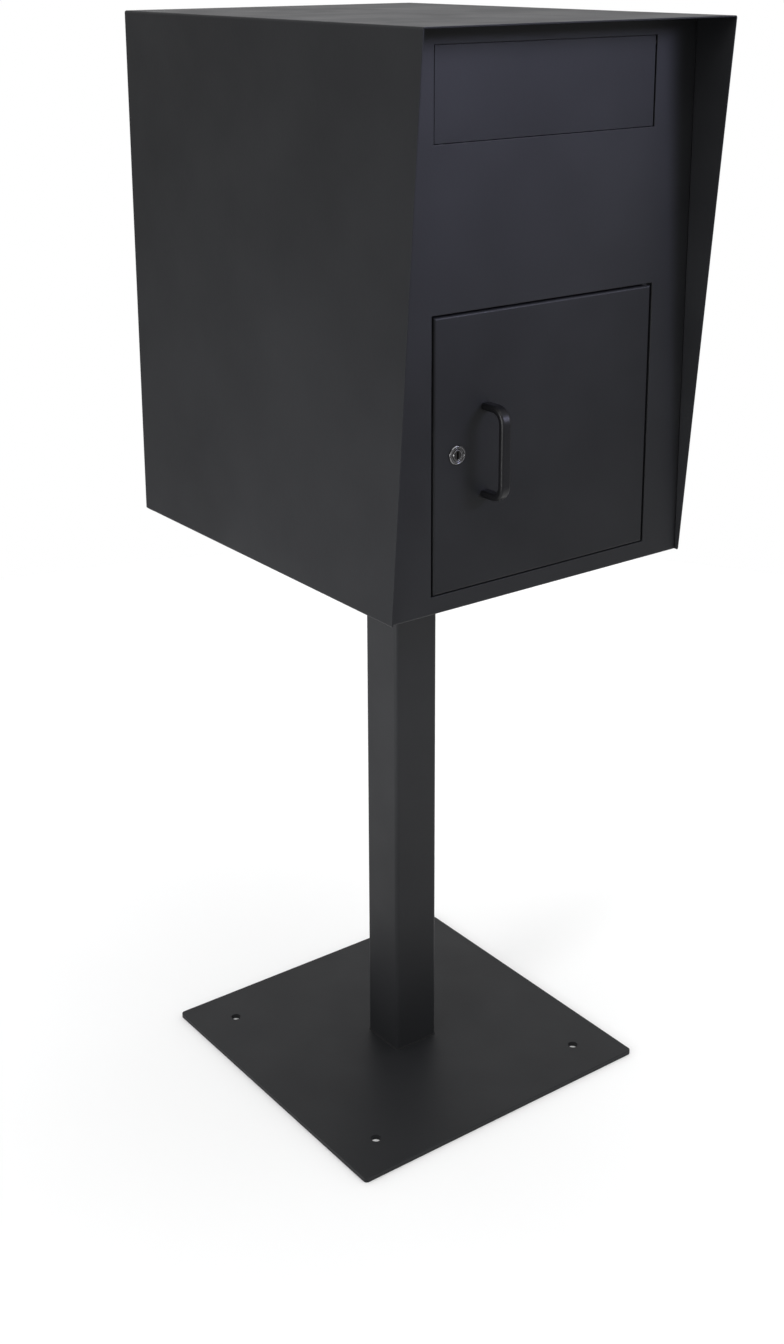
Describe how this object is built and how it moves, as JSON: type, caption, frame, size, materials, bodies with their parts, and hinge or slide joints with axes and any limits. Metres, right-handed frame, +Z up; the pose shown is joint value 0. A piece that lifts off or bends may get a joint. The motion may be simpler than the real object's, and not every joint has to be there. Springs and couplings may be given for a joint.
{
  "type": "parcel drop box",
  "caption": "Free-standing parcel drop box on a square post with base plate: slanted hood, push-in drop flap, lockable access door with bow handle and cam lock.",
  "frame": {"origin": "centre of the base plate's underside, which is the centre of the anchor hole pattern", "axes": "+Z up along the post, -Y out of the front where the flap and the door are, +X to the right of a person standing in front"},
  "size_m": [0.428, 0.5715, 1.3208],
  "materials": {
    "powder_coat_housing": "fine satin powder coat",
    "powder_coat_face": "fine satin powder coat",
    "powder_coat_door": "fine satin powder coat",
    "powder_coat_stand": "fine satin powder coat",
    "handle_black": "smooth satin black",
    "lock_chrome": "polished",
    "plug_nickel": "satin nickel",
    "zinc_steel": "bright zinc plate",
    "spring_steel": "drawn wire",
    "blackened_steel": "black oxide",
    "nylon": "black",
    "rubber": "matte"
  },
  "bodies": {
    "cabinet": {"base_plate": "powder_coat_stand", "post": "powder_coat_stand", "post_foot_weld": "powder_coat_stand", "post_head_weld": "powder_coat_stand", "post_head_plate": "powder_coat_stand", "hood_shell": "powder_coat_housing", "back_panel": "powder_coat_housing", "floor_panel": "powder_coat_housing", "parcel_chute": "powder_coat_housing", "flap_stop_strip": "powder_coat_housing", "door_stop_tabs": "powder_coat_housing", "face_panel": "powder_coat_face", "floor_bolts": "zinc_steel", "floor_washers": "zinc_steel", "floor_nuts": "zinc_steel", "hinge_pin_upper": "blackened_steel", "hinge_pin_lower": "blackened_steel", "hinge_thrust_washer": "blackened_steel", "flap_hinge_rod": "blackened_steel", "flap_rod_clips": "blackened_steel", "flap_springs": "spring_steel", "flap_spacer": "nylon", "door_bumpers": "rubber"},
    "flap": {"drop_flap": "powder_coat_door"},
    "door": {"access_door": "powder_coat_door", "door_handle": "handle_black", "handle_screws": "zinc_steel", "handle_washers": "zinc_steel", "hinge_bushes": "nylon", "lock_body": "lock_chrome", "lock_nut": "zinc_steel"},
    "lock_core": {"lock_plug": "plug_nickel", "lock_cam": "zinc_steel", "lock_cam_screw": "zinc_steel"}
  },
  "joints": [
    {"name": "flap_swing", "type": "hinge", "parent": "cabinet", "child": "flap", "pos_m": [-0.0029, -0.2527, 1.2929], "axis": [1, 0, 0], "range_deg": [0, 75], "stiffness_Nm_per_rad": 0.08, "springref_deg": -57.3, "deforming": ["flap_springs"]},
    {"name": "door_swing", "type": "hinge", "parent": "cabinet", "child": "door", "pos_m": [0.14655, -0.2527, 0.88145], "axis": [0, 0, 1], "range_deg": [0, 105]},
    {"name": "lock_turn", "type": "hinge", "parent": "door", "child": "lock_core", "pos_m": [-0.121, -0.2527, 0.88235], "axis": [0, -1, 0], "range_deg": [0, 90]}
  ]
}
